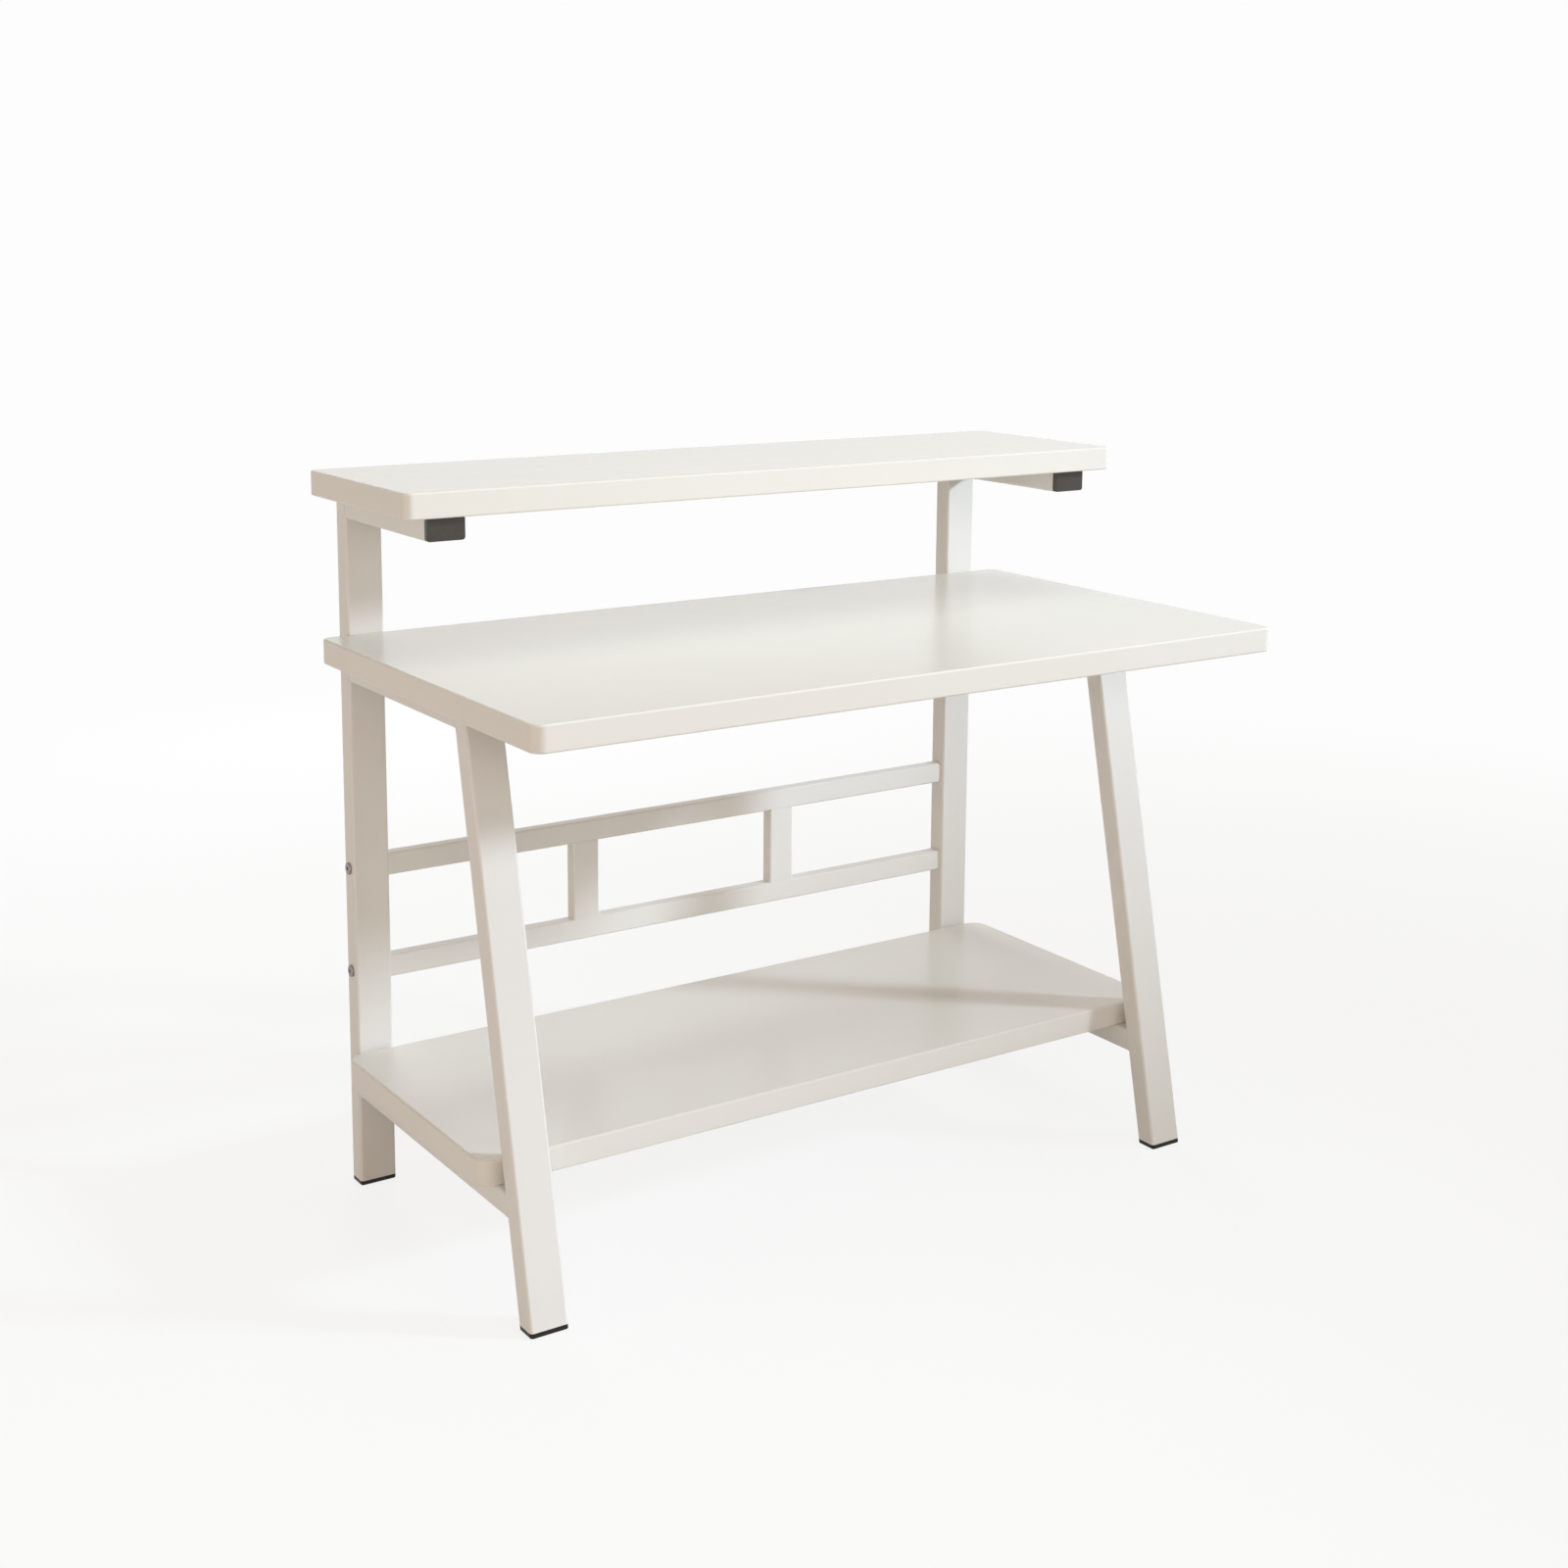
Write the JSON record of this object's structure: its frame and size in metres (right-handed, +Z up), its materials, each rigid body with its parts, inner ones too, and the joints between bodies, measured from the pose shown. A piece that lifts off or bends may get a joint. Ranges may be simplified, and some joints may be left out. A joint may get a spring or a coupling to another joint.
{
  "type": "computer desk",
  "caption": "Computer desk with a pale tube frame, leaning front legs, thick desktop, raised rear shelf on cantilever arms, low shelf and a bolted back frame.",
  "frame": {"origin": "on the floor, under the middle of the desk's footprint", "axes": "+X to the sitter's right along the desk, +Y from the front edge to the rear posts, +Z up"},
  "size_m": [1.1, 0.621, 0.962],
  "materials": {
    "board_laminate": "satin cream laminate on particle board",
    "edge_band": "satin cream plastic edging",
    "frame_paint": "semi-gloss off-white powder coat",
    "black_plastic": "moulded black plastic",
    "dark_bolt": "black-oxide steel",
    "zinc_insert": "zinc-plated steel"
  },
  "bodies": {
    "root": {"desktop_board": "board_laminate", "desktop_edge_band": "edge_band", "desktop_bolts": "dark_bolt", "desktop_inserts": "zinc_insert", "upper_shelf_board": "board_laminate", "upper_shelf_edge_band": "edge_band", "upper_shelf_bolts": "dark_bolt", "upper_shelf_inserts": "zinc_insert", "lower_shelf_board": "board_laminate", "lower_shelf_edge_band": "edge_band", "lower_shelf_bolts": "dark_bolt", "lower_shelf_inserts": "zinc_insert", "left_rear_post": "frame_paint", "left_front_leg": "frame_paint", "left_desk_bearer": "frame_paint", "left_shelf_bearer": "frame_paint", "left_shelf_arm": "frame_paint", "left_back_strut": "frame_paint", "left_arm_plug": "black_plastic", "left_rear_foot": "black_plastic", "left_front_foot": "black_plastic", "right_rear_post": "frame_paint", "right_front_leg": "frame_paint", "right_desk_bearer": "frame_paint", "right_shelf_bearer": "frame_paint", "right_shelf_arm": "frame_paint", "right_back_strut": "frame_paint", "right_arm_plug": "black_plastic", "right_rear_foot": "black_plastic", "right_front_foot": "black_plastic", "back_upper_rail": "frame_paint", "back_lower_rail": "frame_paint", "rail_bolts": "dark_bolt", "rail_nut_blocks": "zinc_insert"}
  },
  "joints": []
}
